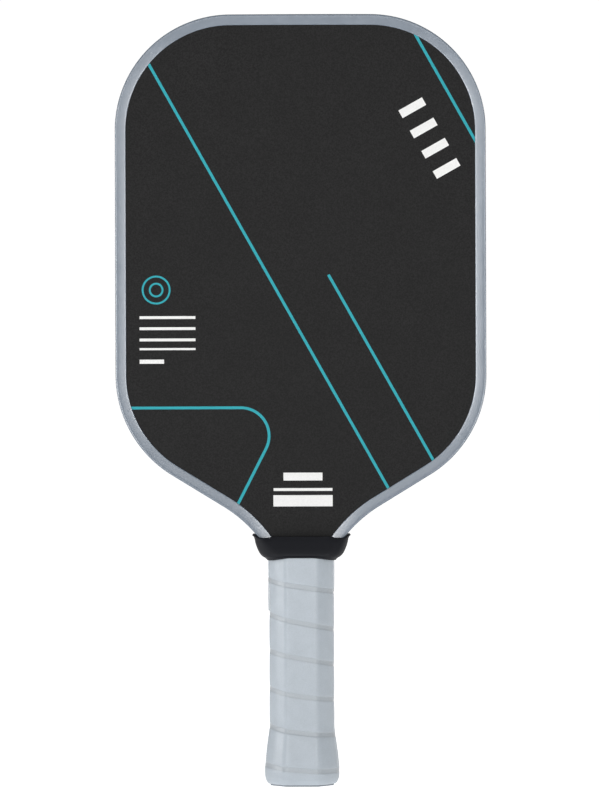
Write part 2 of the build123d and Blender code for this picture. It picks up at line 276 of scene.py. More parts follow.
def span(tree, factor, low, high, start=0.3, end=0.7):
    """Number that goes from low to high as factor goes from start to end."""
    inputs = {"Value": factor, "From Min": start, "From Max": end, "To Min": low, "To Max": high}
    return add_node(tree, "ShaderNodeMapRange", inputs).outputs["Result"]


def combine(tree, operation, a, b):
    """One math node on two inputs."""
    return add_node(tree, "ShaderNodeMath", {0: a, 1: b}, operation=operation).outputs["Value"]


# Places of the mix node's two colours among its inputs, and of the mixed colour among its outputs.
MIX_FIRST, MIX_SECOND, MIX_RESULT = 6, 7, 2


def blend(tree, factor, first, second, kind="MIX"):
    """Colour that goes from the first to the second as factor goes from 0 to 1."""
    inputs = {"Factor": factor, MIX_FIRST: first, MIX_SECOND: second}
    return add_node(tree, "ShaderNodeMix", inputs, data_type="RGBA", blend_type=kind).outputs[MIX_RESULT]


def set_surface(tree, shader, colour, roughness, height, depth, strength):
    """Links a surface's colour, its roughness and a bump whose height of 1 is depth metres."""
    inputs = {"Height": height, "Distance": depth, "Strength": strength}
    normal = add_node(tree, "ShaderNodeBump", inputs).outputs["Normal"]
    for socket, source in (("Base Color", colour), ("Roughness", roughness), ("Normal", normal)):
        tree.links.new(source, shader.inputs[socket])


def tint(colour, factor):
    """A colour made darker or lighter by a factor."""
    return tuple(min(1.0, c * factor) for c in colour)


THREAD_SCALE = 480.0  # puts the peel ply's threads 0.65 mm apart


def peel_ply_height(tree):
    """Height of the fine woven print that peel ply leaves on the resin of a carbon face."""
    place = add_node(tree, "ShaderNodeTexCoord").outputs["Object"]
    inputs = {"Vector": place, "Scale": THREAD_SCALE, "Distortion": 1.4, "Detail": 1.0, "Detail Scale": 2.0}
    threads = []
    for axis in ("X", "Z"):
        wave = add_node(tree, "ShaderNodeTexWave", inputs, bands_direction=axis)
        threads.append(wave.outputs["Fac"])
    weave = combine(tree, "MAXIMUM", *threads)
    grit = object_noise(tree, 0.35 * MM, detail=3.0, roughness=0.7)
    return combine(tree, "ADD", combine(tree, "MULTIPLY", weave, 0.5), grit)


def carbon_face_material():
    """Raw carbon face: matte charcoal with a gritty woven print and faint mottling."""
    material, tree, shader = new_material("raw_carbon_face", Specular_IOR_Level=0.17)
    grain = object_noise(tree, 0.75 * MM, detail=2.0, roughness=0.6)
    cloud = object_noise(tree, 18 * MM, detail=2.0)
    fine = ramp(tree, grain, (0.0042, 0.0042, 0.0043), (0.0156, 0.0154, 0.0155), 0.36, 0.68)
    broad = ramp(tree, cloud, (0.93, 0.93, 0.93), (1.06, 1.06, 1.06))
    colour = blend(tree, 1.0, fine, broad, "MULTIPLY")
    rough = span(tree, grain, 0.58, 0.74)
    set_surface(tree, shader, colour, rough, peel_ply_height(tree), depth=0.035 * MM, strength=0.7)
    return material


def ink_material(name, ink_colour):
    """Screen-printed ink on the carbon face: the woven print shows through it."""
    material, tree, shader = new_material(name, Specular_IOR_Level=0.25)
    cover = object_noise(tree, 0.6 * MM, detail=2.0, roughness=0.6)
    colour = ramp(tree, cover, tint(ink_colour, 0.93), tint(ink_colour, 1.03))
    rough = span(tree, cover, 0.44, 0.58)
    set_surface(tree, shader, colour, rough, peel_ply_height(tree), depth=0.03 * MM, strength=0.6)
    return material


def guard_material():
    """Satin moulded plastic, pale grey-blue, with a fine mould grain and light handling marks.

    The web's paler colour is painted light: from in front the lips shine in the lamps' light more
    than the web does from the side, so the web is painted paler, for the two to look alike.
    """
    material, tree, shader = new_material("edge_guard_plastic", Specular_IOR_Level=1.0)
    cloud = object_noise(tree, 9 * MM, detail=4.0, roughness=0.6)
    grain = object_noise(tree, 0.3 * MM, detail=2.0)
    scuff = object_noise(tree, 2.2 * MM, detail=6.0, roughness=0.75, stretch=(1, 0.35, 1))
    lip_colour = (0.106, 0.135, 0.174)
    # painted light: the web's colour is paler than the lips' to make up for the lamps' light the lips catch
    # from in front
    web_painted_light_colour = (0.200, 0.240, 0.287)
    lips = ramp(tree, cloud, tint(lip_colour, 0.955), tint(lip_colour, 1.04))
    web = ramp(tree, cloud, tint(web_painted_light_colour, 0.955), tint(web_painted_light_colour, 1.04))
    on_web = add_node(tree, "ShaderNodeAttribute", attribute_name="web").outputs["Fac"]
    colour = blend(tree, on_web, lips, web)
    rough = combine(tree, "ADD", span(tree, cloud, 0.20, 0.25), span(tree, scuff, 0.0, 0.05, 0.45, 0.75))
    height = combine(tree, "ADD", grain, combine(tree, "MULTIPLY", scuff, 0.25))
    set_surface(tree, shader, colour, rough, height, depth=0.004 * MM, strength=0.6)
    return material


def grip_material():
    """Tacky polyurethane over foam: pale grey, finely pored, a little darker in the seams."""
    material, tree, shader = new_material("grip_polyurethane", Specular_IOR_Level=0.5)
    cloud = object_noise(tree, 7 * MM, detail=3.0)
    pores = object_noise(tree, 0.45 * MM, detail=3.0, roughness=0.65)
    creases = object_noise(tree, 1.6 * MM, detail=4.0, stretch=(1, 1, 2.4))
    strip_colour = (0.352, 0.391, 0.430)
    seam_colour = (0.318, 0.345, 0.370)
    clouds, specks = combine(tree, "MULTIPLY", cloud, 0.35), combine(tree, "MULTIPLY", pores, 0.65)
    mottle = combine(tree, "ADD", clouds, specks)
    plain = ramp(tree, mottle, tint(strip_colour, 0.89), tint(strip_colour, 1.10))
    worn = ramp(tree, pores, tint(seam_colour, 0.90), tint(seam_colour, 1.08))
    in_seam = add_node(tree, "ShaderNodeAttribute", attribute_name="seam").outputs["Fac"]
    colour = blend(tree, in_seam, plain, worn)
    rough = span(tree, pores, 0.31, 0.42)
    height = combine(tree, "ADD", pores, combine(tree, "MULTIPLY", creases, 1.6))
    set_surface(tree, shader, colour, rough, height, depth=0.04 * MM, strength=0.55)
    return material


def collar_material():
    """Soft black rubber with a slightly dusty mould skin."""
    material, tree, shader = new_material("collar_rubber", Specular_IOR_Level=0.2)
    dust = object_noise(tree, 1.4 * MM, detail=5.0, roughness=0.7)
    skin = object_noise(tree, 0.35 * MM, detail=2.0)
    colour = ramp(tree, dust, (0.0048, 0.0053, 0.0078), (0.0074, 0.0081, 0.0110), 0.35, 0.75)
    set_surface(tree, shader, colour, span(tree, dust, 0.52, 0.66), skin, depth=0.02 * MM, strength=0.6)
    return material


def mottled_material(name, middle_colour, gloss, grain_size, depth, contrast):
    """A plain moulded, foamed or rolled material: mottled colour, grain and uneven gloss.

    Its roughness lies about gloss, and its grain's size and depth are in millimetres.
    """
    material, tree, shader = new_material(name)
    cloud = object_noise(tree, grain_size * MM * 12, detail=3.0)
    grain = object_noise(tree, grain_size * MM, detail=3.0, roughness=0.6)
    colour = ramp(tree, cloud, tint(middle_colour, 1 - contrast), tint(middle_colour, 1 + contrast))
    rough = span(tree, grain, gloss - 0.06, gloss + 0.06)
    set_surface(tree, shader, colour, rough, grain, depth=depth * MM, strength=0.7)
    return material


def wire_material():
    """Drawn steel wire, with fine lines along its length."""
    material, tree, shader = new_material("staple_wire", Metallic=1.0)
    steel = (0.55, 0.55, 0.56)
    lines = object_noise(tree, 0.25 * MM, detail=3.0, stretch=(1, 0.1, 1))
    colour = ramp(tree, lines, tint(steel, 0.85), tint(steel, 1.08))
    set_surface(tree, shader, colour, span(tree, lines, 0.24, 0.42), lines, depth=0.01 * MM, strength=0.6)
    return material


CARBON = carbon_face_material()
GUARD = guard_material()
GRIP = grip_material()
COLLAR = collar_material()
TEAL_INK = ink_material("teal_ink", (0.012, 0.290, 0.340))
WHITE_INK = ink_material("white_ink", (0.70, 0.70, 0.69))

# Plain materials: colour, roughness, grain size in mm, grain depth in mm, and contrast of the mottling.
PLAIN_MATERIALS = {
    "edge_foam": ((0.78, 0.77, 0.71), 0.8, 0.5, 0.06, 0.08),
    "handle_foam": ((0.06, 0.06, 0.065), 0.7, 0.6, 0.05, 0.08),
    "resin_film": ((0.55, 0.42, 0.18), 0.25, 0.8, 0.01, 0.08),
    "shell_glue": ((0.62, 0.56, 0.36), 0.35, 0.9, 0.02, 0.08),
    "acrylic_tape": ((0.72, 0.72, 0.68), 0.6, 0.4, 0.02, 0.08),
    "polypropylene_cells": ((0.74, 0.76, 0.75), 0.45, 0.7, 0.02, 0.08),
    "carbon_strip": ((0.02, 0.02, 0.021), 0.55, 0.4, 0.02, 0.2),
    "cap_plastic": ((0.17, 0.19, 0.21), 0.5, 0.35, 0.02, 0.08),
    "badge_plastic": ((0.20, 0.23, 0.26), 0.28, 0.6, 0.006, 0.08),
    "finishing_tape": ((0.015, 0.015, 0.016), 0.45, 0.5, 0.02, 0.08),
}


def dress_cad_nodes():
    """Gives every CAD node its own material. Three of the nodes are replaced later on."""
    plain = {name: mottled_material(name, *values) for name, values in PLAIN_MATERIALS.items()}
    materials = {
        "front_face_sheet": CARBON,
        "back_face_sheet": CARBON,
        "honeycomb_core": plain["polypropylene_cells"],
        "perimeter_foam": plain["edge_foam"],
        "front_bond_film": plain["resin_film"],
        "back_bond_film": plain["resin_film"],
        "edge_wrap": plain["carbon_strip"],
        "edge_guard_tape": plain["acrylic_tape"],
        "handle_shell_front": plain["handle_foam"],
        "handle_shell_back": plain["handle_foam"],
        "front_shell_glue": plain["shell_glue"],
        "back_shell_glue": plain["shell_glue"],
        "butt_cap": plain["cap_plastic"],
        "butt_cap_staples": wire_material(),
        "butt_badge": plain["badge_plastic"],
        "grip_adhesive": plain["acrylic_tape"],
        "grip_finishing_tape": plain["finishing_tape"],
        "edge_guard": GUARD,
        "grip_wrap": GRIP,
        "grip_collar": COLLAR,
    }
    for name, material in materials.items():
        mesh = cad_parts[name].data
        mesh.materials.clear()
        mesh.materials.append(material)


# ---------------------------------------------------------------- edge guard
GUARD_WEB = 1.3 * MM
GUARD_CORNER = 0.55 * MM
WEB_CROWN = 0.1 * MM  # the web bulges this far between its rounded corners
LIP_PEAK = 1.3 * MM  # from the outside to the lip's highest line
LIP_OUTER_FALL = 0.03 * MM  # the lip falls this far from its peak to its rounded corner
LIP_SLOPE = 0.118  # inside its peak the lip tapers at this slope
LIP_INNER_FALL = 0.10 * MM  # and curves down by this much more at its inner edge
LIP_EDGE_RADIUS = 0.22 * MM
LIP_FOOT_RADIUS = 0.08 * MM  # at the lip's inner edge, next to the face
LIP_FOOT_HEIGHT = 0.2 * MM  # up to here the lip's points stay where they are
LIP_GAP = 0.04 * MM  # between lip and face, where the print runs under
GUARD_SPACING = 0.5 * MM  # between the section's points


def guard_section():
    """Closed U-shaped section: distance inwards from the outside, and height above mid-plane."""
    inner_y = FACE_Y + LIP_GAP
    corners = [
        (WEB_CROWN, -GUARD_Y),
        (GUARD_LIP, -GUARD_Y),
        (GUARD_LIP, -inner_y),
        (GUARD_WEB, -inner_y),
        (GUARD_WEB, inner_y),
        (GUARD_LIP, inner_y),
        (GUARD_LIP, GUARD_Y),
        (WEB_CROWN, GUARD_Y),
    ]
    radii = [GUARD_CORNER, LIP_EDGE_RADIUS, LIP_FOOT_RADIUS, 0]
    points, normals = rounded_polygon(corners, radii + radii[::-1], steps=7)
    points, _ = refine(points, normals, GUARD_SPACING)
    flat_half = GUARD_Y - GUARD_CORNER
    for point in points:
        inward, y = point
        if abs(y) < flat_half and inward < GUARD_WEB / 2:
            point[0] -= WEB_CROWN * (1 - (y / flat_half) ** 2)
        if abs(y) > inner_y + LIP_FOOT_HEIGHT:
            outer = max(0.0, (LIP_PEAK - inward) / LIP_PEAK)
            inner = max(0.0, (inward - LIP_PEAK) / (GUARD_LIP - LIP_PEAK))
            fall = LIP_OUTER_FALL * outer**2 + LIP_INNER_FALL * inner**2
            fall += LIP_SLOPE * max(0.0, inward - LIP_PEAK)
            point[1] -= math.copysign(fall, y)
    return points


def make_guard():
    """The edge guard: its section swept round the head, and cut square at both ends."""
    section = guard_section()
    vertices = []
    for point, normal in zip(PATH, PATH_NORMALS):
        for inward, y in section:
            x, z = point - normal * inward
            vertices.append((x, y, z))
    size = len(section)
    faces = ring_faces(len(PATH), size)
    last = (len(PATH) - 1) * size
    faces.append(tuple(range(size)))
    faces.append(tuple(range(last + size - 1, last - 1, -1)))
    guard = add_piece("edge_guard_strip", vertices, faces, GUARD)
    # painted light: marks the web, whose colour is painted paler than the lips'
    on_web = [float(inward < WEB_CROWN and abs(y) < GUARD_Y - GUARD_CORNER) for inward, y in section]
    paint(guard, "web", vertices, on_web * len(PATH))
    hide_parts("edge_guard")


# ---------------------------------------------------------------- printed marks
PRINT_THICKNESS = 0.03 * MM
PRINT_TUCK = 2.2 * MM  # how far a stripe runs on under the guard's lip
STRIPE_WIDTH = 1.5 * MM
STRIPE_ANGLE = math.radians(60.7)  # of the straight stripes, below the horizontal
DOWNHILL = direction(-STRIPE_ANGLE)
ACROSS = direction(math.pi / 2 - STRIPE_ANGLE)
LEFT = np.array([-1.0, 0.0])
LONG_STRIPE = np.array([-60, 348.1]) * MM  # a point on the stripe down the middle of the face
CORNER_STRIPE = np.array([77.8, 371.4]) * MM  # a point on the stripe across the top right corner
SHORT_STRIPE_TOP = np.array([14.8, 272.4]) * MM
BEND_CENTRE = np.array([-32.1, 186.6]) * MM  # of the stripe that bends, at the lower left
BEND_RADIUS = 15 * MM
BENT_STRIPE_ANGLE = math.radians(63)  # of its lower end, above the horizontal
BEND_STEPS = 25
RINGS_CENTRE = np.array([-77.1, 264.5]) * MM
RING_RADII = (7.2 * MM, 3.4 * MM)
RING_WIDTH = 1.0 * MM
RING_SIDES = 64
SLANTING_BARS_CENTRE = np.array([68.9, 345.1]) * MM
SLANTING_BARS_PITCH = 12.4 * MM
SLANTING_BAR_LENGTH = 14.4 * MM
SLANTING_BAR_WIDTH = 4.6 * MM
# Level bars, in mm: height of the middle, length and width. Those at the left share their left
# ends, and those at the throat their middles.
TEXT_BARS_LEFT = -86.0
TEXT_BARS = [
    (249.8, 29.8, 1.5),
    (243.9, 29.8, 1.5),
    (237.9, 29.8, 1.5),
    (233.0, 29.8, 1.1),
    (226.3, 13.0, 2.2),
]
THROAT_BARS_MIDDLE = 0.9
THROAT_BARS = [(164.8, 20.8, 4.2), (157.9, 31.4, 1.5), (151.9, 31.6, 6.0)]
NEARLY_PARALLEL = 1e-12  # two lines whose determinant is below this don't cross


def under_lip(start, heading):
    """Where a line from start ends under the guard's lip: the nearest crossing ahead."""
    edge = PATH - PATH_NORMALS * (GUARD_LIP - PRINT_TUCK)
    best = None
    for a, b in zip(edge[:-1], edge[1:]):
        matrix = np.column_stack([heading, a - b])
        if abs(np.linalg.det(matrix)) < NEARLY_PARALLEL:
            continue
        along, share = np.linalg.solve(matrix, a - start)
        if along > 0 and 0 <= share <= 1 and (best is None or along < best):
            best = along
    return start + heading * best


class Print:
    """Flat ink shapes on one face, gathered into one mesh."""

    def __init__(self):
        self.vertices, self.faces = [], []

    def ribbon(self, path, width, closed=False):
        """A band of even width along a path."""
        path = np.array(path, float)
        before = np.roll(path, 1, 0)
        after = np.roll(path, -1, 0)
        if not closed:
            before[0], after[-1] = path[0], path[-1]
        along = after - before
        along /= np.linalg.norm(along, axis=1)[:, None]
        side = np.column_stack([-along[:, 1], along[:, 0]]) * width / 2
        first, count = len(self.vertices), len(path)
        for point, half in zip(path, side):
            for xz in (point - half, point + half):
                for height in (0, PRINT_THICKNESS):
                    self.vertices.append((xz[0], -FACE_Y - height, xz[1]))
        for k in range(count if closed else count - 1):
            a, b = first + 4 * k, first + 4 * ((k + 1) % count)
            for low, high in ((0, 1), (1, 3), (3, 2), (2, 0)):
                self.faces.append((a + low, a + high, b + high, b + low))
        if not closed:
            for a in (first, first + 4 * (count - 1)):
                self.faces.append((a, a + 1, a + 3, a + 2))

    def bar(self, centre, length, width, heading=(1, 0)):
        """A straight bar, centred at a point."""
        half = np.array(heading) * length / 2
        self.ribbon([np.array(centre) - half, np.array(centre) + half], width)

    def ring(self, centre, radius, width):
        """A circle of even width."""
        angles = np.arange(RING_SIDES) * 2 * math.pi / RING_SIDES
        self.ribbon([np.array(centre) + radius * direction(a) for a in angles], width, closed=True)

    def add(self, name, material, back):
        """Makes the mesh on the front face, or turned half round onto the back."""
        turn = -1 if back else 1
        vertices = [(turn * x, turn * y, z) for x, y, z in self.vertices]
        add_piece(name, vertices, self.faces, material, sharp_degrees=30)


def stripes():
    """The teal stripes and rings, as seen from the face's own front."""
    ink = Print()
    lines = [
        (under_lip(LONG_STRIPE, -DOWNHILL), under_lip(LONG_STRIPE, DOWNHILL)),
        (SHORT_STRIPE_TOP, under_lip(SHORT_STRIPE_TOP, DOWNHILL)),
        (under_lip(CORNER_STRIPE, -DOWNHILL), under_lip(CORNER_STRIPE, DOWNHILL)),
    ]
    for line in lines:
        ink.ribbon(line, STRIPE_WIDTH)
    turns = np.linspace(math.pi / 2, BENT_STRIPE_ANGLE - math.pi / 2, BEND_STEPS)
    bend = [BEND_CENTRE + BEND_RADIUS * direction(turn) for turn in turns]
    end = under_lip(bend[-1], -direction(BENT_STRIPE_ANGLE))
    ink.ribbon([under_lip(bend[0], LEFT), *bend, end], STRIPE_WIDTH)
    for radius in RING_RADII:
        ink.ring(RINGS_CENTRE, radius, RING_WIDTH)
    return ink


def marks():
    """Plain white bars where the face carries its printing."""
    ink = Print()
    for k in (-1.5, -0.5, 0.5, 1.5):
        middle = SLANTING_BARS_CENTRE + DOWNHILL * k * SLANTING_BARS_PITCH
        ink.bar(middle, SLANTING_BAR_LENGTH, SLANTING_BAR_WIDTH, ACROSS)
    bars = [(TEXT_BARS_LEFT + length / 2, z, length, width) for z, length, width in TEXT_BARS]
    bars += [(THROAT_BARS_MIDDLE, z, length, width) for z, length, width in THROAT_BARS]
    for x, z, length, width in bars:
        ink.bar((x * MM, z * MM), length * MM, width * MM)
    return ink


def make_prints():
    """Both faces carry the same printing."""
    for face, back in (("front", False), ("back", True)):
        stripes().add(face + "_print_stripes", TEAL_INK, back)
        marks().add(face + "_print_marks", WHITE_INK, back)


# ---------------------------------------------------------------- grip
GRIP_HALF_WIDTH = 17.2 * MM
GRIP_HALF_DEPTH = 15.0 * MM
GRIP_BEVEL = 8.45 * MM
GRIP_THICKNESS = 1.8 * MM
GRIP_EDGE_RADIUS = 4.8 * MM  # between the broad faces and the bevels
GRIP_SIDE_RADIUS = 4.6 * MM  # between the bevels and the narrow sides
GRIP_BEVEL_CROWN = 0.4 * MM
GRIP_SPACING = 1.5 * MM  # between the section's points
FLARE_START_Z = 31.0 * MM
FLARE_WIDEST_Z = 9.0 * MM
FLARE_GROWTH = 2.7 * MM
FLARE_BOW = 0.06  # share of the growth by which the flare bows outwards halfway
ROLL_Z = 6.5 * MM  # below this the grip rolls in under the butt
ROLL_END_Z = 0.8 * MM
ROLL_END_GROWTH = -0.1 * MM
ROLL_STEPS = 9
# Height and growth of the outside that the grip's inner wall runs parallel to, above the roll.
INNER_WALL = [
    (ROLL_END_Z, ROLL_END_GROWTH),
    (2.2 * MM, 1.5 * MM),
    (5.0 * MM, 2.5 * MM),
    (FLARE_WIDEST_Z, FLARE_GROWTH),
    (FLARE_START_Z, 0.0),
    (GRIP_TOP_Z, 0.0),
]
# Each seam's height at the left edge, how far it drops across the front, and how far it sags
# below a straight line there, from the top down. The first and the last two lie past the ends.
SEAMS = [
    (151.0, 6.5, 0.5),
    (130.5, 6.5, 0.5),
    (109.8, 6.5, 0.5),
    (91.7, 8.6, 0.5),
    (72.0, 7.6, 0.1),
    (52.1, 6.2, 1.1),
    (32.1, 5.0, 1.1),
    (11.6, 3.5, 1.0),
    (-9.0, 3.6, 1.0),
    (-29.0, 3.6, 1.0),
]
SEAM_DEPTH = 0.2 * MM
SEAM_ON_FACES = 0.7  # how dark a seam is on the broad faces, beside its darkness at the sides
STRIP_CROWN = 0.10 * MM  # the strip bulges this far between two seams
TOP_TURN = 1
TOP_TURN_PROUD = 0.36 * MM  # the topmost turn lies over the strip's own start
TOP_TURN_LEAN = 0.18 * MM  # and stands out further by this at the left side, where that start is
EDGE_DEPTH = -0.15  # share of a seam's depth at the strip's edges, which stand a little proud
# Rows of the mesh at a seam: height in mm above its middle, share of its depth, and how far it is seam.
SEAM_ABOVE = [(1.62, EDGE_DEPTH, 0.0), (1.42, 0.0, 0.2), (1.25, 1.0, 1.0), (0.60, 0.95, 1.0)]
SEAM_MIDDLE = (0.0, 0.85, 1.0)
SEAM_BELOW = [(-0.60, 0.75, 1.0), (-1.20, 0.55, 1.0), (-1.38, 0.05, 0.3), (-1.80, EDGE_DEPTH, 0.0)]
STRIP_ROWS = 8
TURNS = len(SEAMS) - 2


def grip_section():
    """Rounded octagon of the grip: points, outward normals and share of the way round.

    It starts at the left edge of the front and runs across the front first.
    """
    x, y = GRIP_HALF_WIDTH, GRIP_HALF_DEPTH
    near_x, near_y = x - GRIP_BEVEL, y - GRIP_BEVEL
    corners = [(-x, -near_y), (-near_x, -y), (near_x, -y), (x, -near_y)]
    corners += [(x, near_y), (near_x, y), (-near_x, y), (-x, near_y)]
    radii = [GRIP_SIDE_RADIUS, GRIP_EDGE_RADIUS, GRIP_EDGE_RADIUS, GRIP_SIDE_RADIUS] * 2
    points, normals = rounded_polygon(corners, radii, steps=6)
    points, normals = refine(points, normals, GRIP_SPACING, crown=GRIP_BEVEL_CROWN)
    steps = np.linalg.norm(np.roll(points, -1, 0) - points, axis=1)
    shares = np.concatenate([[0], np.cumsum(steps)[:-1]]) / steps.sum()
    return points, normals, shares


def grip_growth(z):
    """How far the grip's outside stands out at height z beyond its straight part."""
    if z >= FLARE_START_Z:
        return 0.0
    slope = min(1.0, (FLARE_START_Z - z) / (FLARE_START_Z - FLARE_WIDEST_Z))
    return FLARE_GROWTH * (slope + FLARE_BOW * math.sin(math.pi * slope))


def seam_height(turn, share, front_share):
    """Height of the seam's middle at a share of the way round on one turn."""
    z, drop, sag = SEAMS[turn]
    if share < front_share:
        along = share / front_share
        return (z - drop * along - sag * math.sin(math.pi * along)) * MM
    along = (share - front_share) / (1 - front_share)
    return (z - drop + (SEAMS[turn + 1][0] - z + drop) * along) * MM


def grip_rows():
    """Rows of one turn of the strip, from one seam's middle to the next seam.

    Each row has a kind, a height, a share of the seam's depth and how far it is seam. The height is
    measured from the upper or the lower seam, or is a share of the way between the strip's edges.
    """
    rows = [("upper", z * MM, depth, seam) for z, depth, seam in [SEAM_MIDDLE, *SEAM_BELOW]]
    for k in range(1, STRIP_ROWS + 1):
        share = k / (STRIP_ROWS + 1)
        crown = math.sin(math.pi * share) ** 0.7 * STRIP_CROWN / SEAM_DEPTH
        rows.append(("between", share, EDGE_DEPTH - crown, 0.0))
    rows += [("lower", z * MM, depth, seam) for z, depth, seam in SEAM_ABOVE]
    return rows


def grip_ring(points, normals, growth, z):
    """The grip's section at height z, grown outwards by growth."""
    return [(*(point + normal * growth), z) for point, normal in zip(points, normals)]


def grip_end_rings(points, normals):
    """Rings from the strip's lower end round the roll, up the inner wall and out to its upper end."""
    widest = grip_growth(ROLL_Z)
    rings = []
    for step in range(ROLL_STEPS + 1):
        angle = math.pi / 2 * step / ROLL_STEPS
        z = ROLL_Z - (ROLL_Z - ROLL_END_Z) * math.sin(angle)
        growth = ROLL_END_GROWTH + (widest - ROLL_END_GROWTH) * math.cos(angle)
        rings.append(grip_ring(points, normals, growth, z))
    for z, growth in INNER_WALL:
        rings.append(grip_ring(points, normals, growth - GRIP_THICKNESS, z))
    rings.append(grip_ring(points, normals, 0.0, GRIP_TOP_Z))
    return rings


def grip_strip(points, normals, shares):
    """Vertices of the wound strip's outside, column by column, and how far each is seam."""
    front_share = shares[np.argmax(points[:, 0] > GRIP_HALF_WIDTH - 0.01 * MM)]
    rows = grip_rows()
    vertices, seam_values = [], []
    for point, normal, share in zip(points, normals, shares):
        across = point[0] / GRIP_HALF_WIDTH
        darkness = SEAM_ON_FACES + (1 - SEAM_ON_FACES) * min(1.0, abs(across)) ** 6
        for turn in range(TURNS):
            upper = seam_height(turn, share, front_share)
            lower = seam_height(turn + 1, share, front_share)
            top, bottom = upper + SEAM_BELOW[-1][0] * MM, lower + SEAM_ABOVE[0][0] * MM
            for kind, height, depth, seam in rows:
                heights = {
                    "upper": upper + height,
                    "between": top + (bottom - top) * height,
                    "lower": lower + height,
                }
                z = heights[kind]
                on_strip = ROLL_Z < z < GRIP_TOP_Z
                z = min(max(z, ROLL_Z), GRIP_TOP_Z)
                over_start = turn == TOP_TURN and seam < 1
                proud = TOP_TURN_PROUD - TOP_TURN_LEAN * across if over_start else 0.0
                rise = proud - depth * SEAM_DEPTH if on_strip else 0.0
                x, y = point + normal * (grip_growth(z) + rise)
                vertices.append((x, y, z))
                seam_values.append(seam * darkness)
    return vertices, seam_values


def strip_faces(columns):
    """Quads between neighbouring columns. The last column meets the first one turn further down."""
    turn_rows = len(grip_rows())
    total = TURNS * turn_rows
    faces = []
    for column in range(columns):
        beside = (column + 1) % columns
        shift = turn_rows if beside == 0 else 0
        for row in range(total - 1 - shift):
            a, b = column * total + row, beside * total + row + shift
            faces.append((a, a + 1, b + 1, b))
    return faces


def make_grip():
    """The wound cushion grip: one strip whose turns meet in a shallow spiral seam."""
    points, normals, shares = grip_section()
    vertices, seam_values = grip_strip(points, normals, shares)
    rings = grip_end_rings(points, normals)
    faces = strip_faces(len(points)) + ring_faces(len(rings), len(points), first=len(vertices))
    for ring in rings:
        vertices += ring
        seam_values += [0.0] * len(points)

    grip = add_piece("grip_strip", vertices, faces, GRIP, sharp_degrees=60)
    paint(grip, "seam", vertices, seam_values)
    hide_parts("grip_wrap")


# ---------------------------------------------------------------- collar
COLLAR_WALL = 1.3 * MM
# Height, half width, half depth and corner radius of the collar's outside, from the hem up.
COLLAR_STATIONS = [
    (120.9, 18.60, 16.60, 9.0),
    (121.8, 20.10, 16.85, 9.0),
    (123.4, 21.90, 16.60, 9.0),
    (125.6, 23.20, 15.80, 8.7),
    (127.8, 24.10, 14.80, 8.2),
    (129.8, 24.70, 13.85, 7.5),
    (131.3, 24.95, 13.05, 6.6),
    (132.3, 25.10, 12.45, 5.6),
]
HEM_GROOVE_Z = 0.7 * MM  # above the hem's edge
HEM_GROOVE_DEPTH = 0.4 * MM
HEM_GROOVE_HALF_HEIGHT = 0.4 * MM
HEM_ARCH = 1.3 * MM  # the hem lies this much higher in the middle of a face than at the ends
LIP_DIP = 0.6 * MM  # the lip sinks by this beside each end
LIP_TIP = 1.1 * MM  # and rises by this at the end itself
LIP_FLARE = 1.2 * MM  # where it also bends outwards by this
COLLAR_RINGS = 35
COLLAR_EDGE_STEPS = 6
# Steps of the section's corners, of its broad sides and of its ends.
CORNER_STEPS, SIDE_STEPS, END_STEPS = 14, 22, 10


def smooth(value, low, high):
    """0 below low, 1 above high, and an even curve between."""
    t = min(max((value - low) / (high - low), 0.0), 1.0)
    return t * t * (3 - 2 * t)


def curve_value(values, place):
    """Smooth curve through evenly placed values, read at a place from 0 to their last index."""
    low = min(int(place), len(values) - 2)
    share = place - low
    p0, p1 = values[max(low - 1, 0)], values[low]
    p2, p3 = values[low + 1], values[min(low + 2, len(values) - 1)]
    cubic = 3 * (p1 - p2) + p3 - p0
    square = 2 * p0 - 5 * p1 + 4 * p2 - p3
    return p1 + 0.5 * share * (p2 - p0 + share * (square + share * cubic))


def rounded_rectangle(half_width, half_depth, radius):
    """Points and outward normals, with the same count whatever the size."""
    points, normals = [], []
    corners = [(1, -1), (1, 1), (-1, 1), (-1, -1)]
    for k, (sx, sy) in enumerate(corners):
        centre = np.array([sx * (half_width - radius), sy * (half_depth - radius)])
        for step in range(CORNER_STEPS + 1):
            normal = direction((k - 1 + step / CORNER_STEPS) * math.pi / 2)
            points.append(centre + normal * radius)
            normals.append(normal)
        nx, ny = corners[(k + 1) % 4]
        there = np.array([nx * (half_width - radius), ny * (half_depth - radius)]) + normals[-1] * radius
        steps = END_STEPS if k % 2 == 0 else SIDE_STEPS
        start = points[-1]
        for step in range(1, steps):
            points.append(start + (there - start) * step / steps)
            normals.append(normals[-1])
    return np.array(points), np.array(normals)


def collar_ring(place, inset, lift):
    """A ring at a place between hem and lip, inset into the wall and lifted along the wall."""
    z, half_width, half_depth, radius = curve_value(np.array(COLLAR_STATIONS) * MM, place)
    points, normals = rounded_rectangle(half_width, half_depth, radius)
    height = place / (len(COLLAR_STATIONS) - 1)
    first_z = COLLAR_STATIONS[0][0] * MM
    ring = []
    for (x, y), normal in zip(points, normals):
        across = abs(x) / half_width
        at_end = smooth(across, 0.93, 1.0)
        arch = HEM_ARCH * (1 - smooth(across, 0.3, 1.0)) * (1 - height) ** 2
        dip = LIP_DIP * (smooth(across, 0.62, 0.72) - smooth(across, 0.9, 1.0))
        off_groove = abs(z - first_z - HEM_GROOVE_Z) / HEM_GROOVE_HALF_HEIGHT
        groove = 0.0 if inset else HEM_GROOVE_DEPTH * max(0.0, 1 - off_groove)
        shift = LIP_FLARE * at_end * height**10 - inset - groove
        rise = arch + (LIP_TIP * at_end - dip) * smooth(height, 0.6, 1.0) + lift
        ring.append((x + normal[0] * shift, y + normal[1] * shift, z + rise))
    return ring


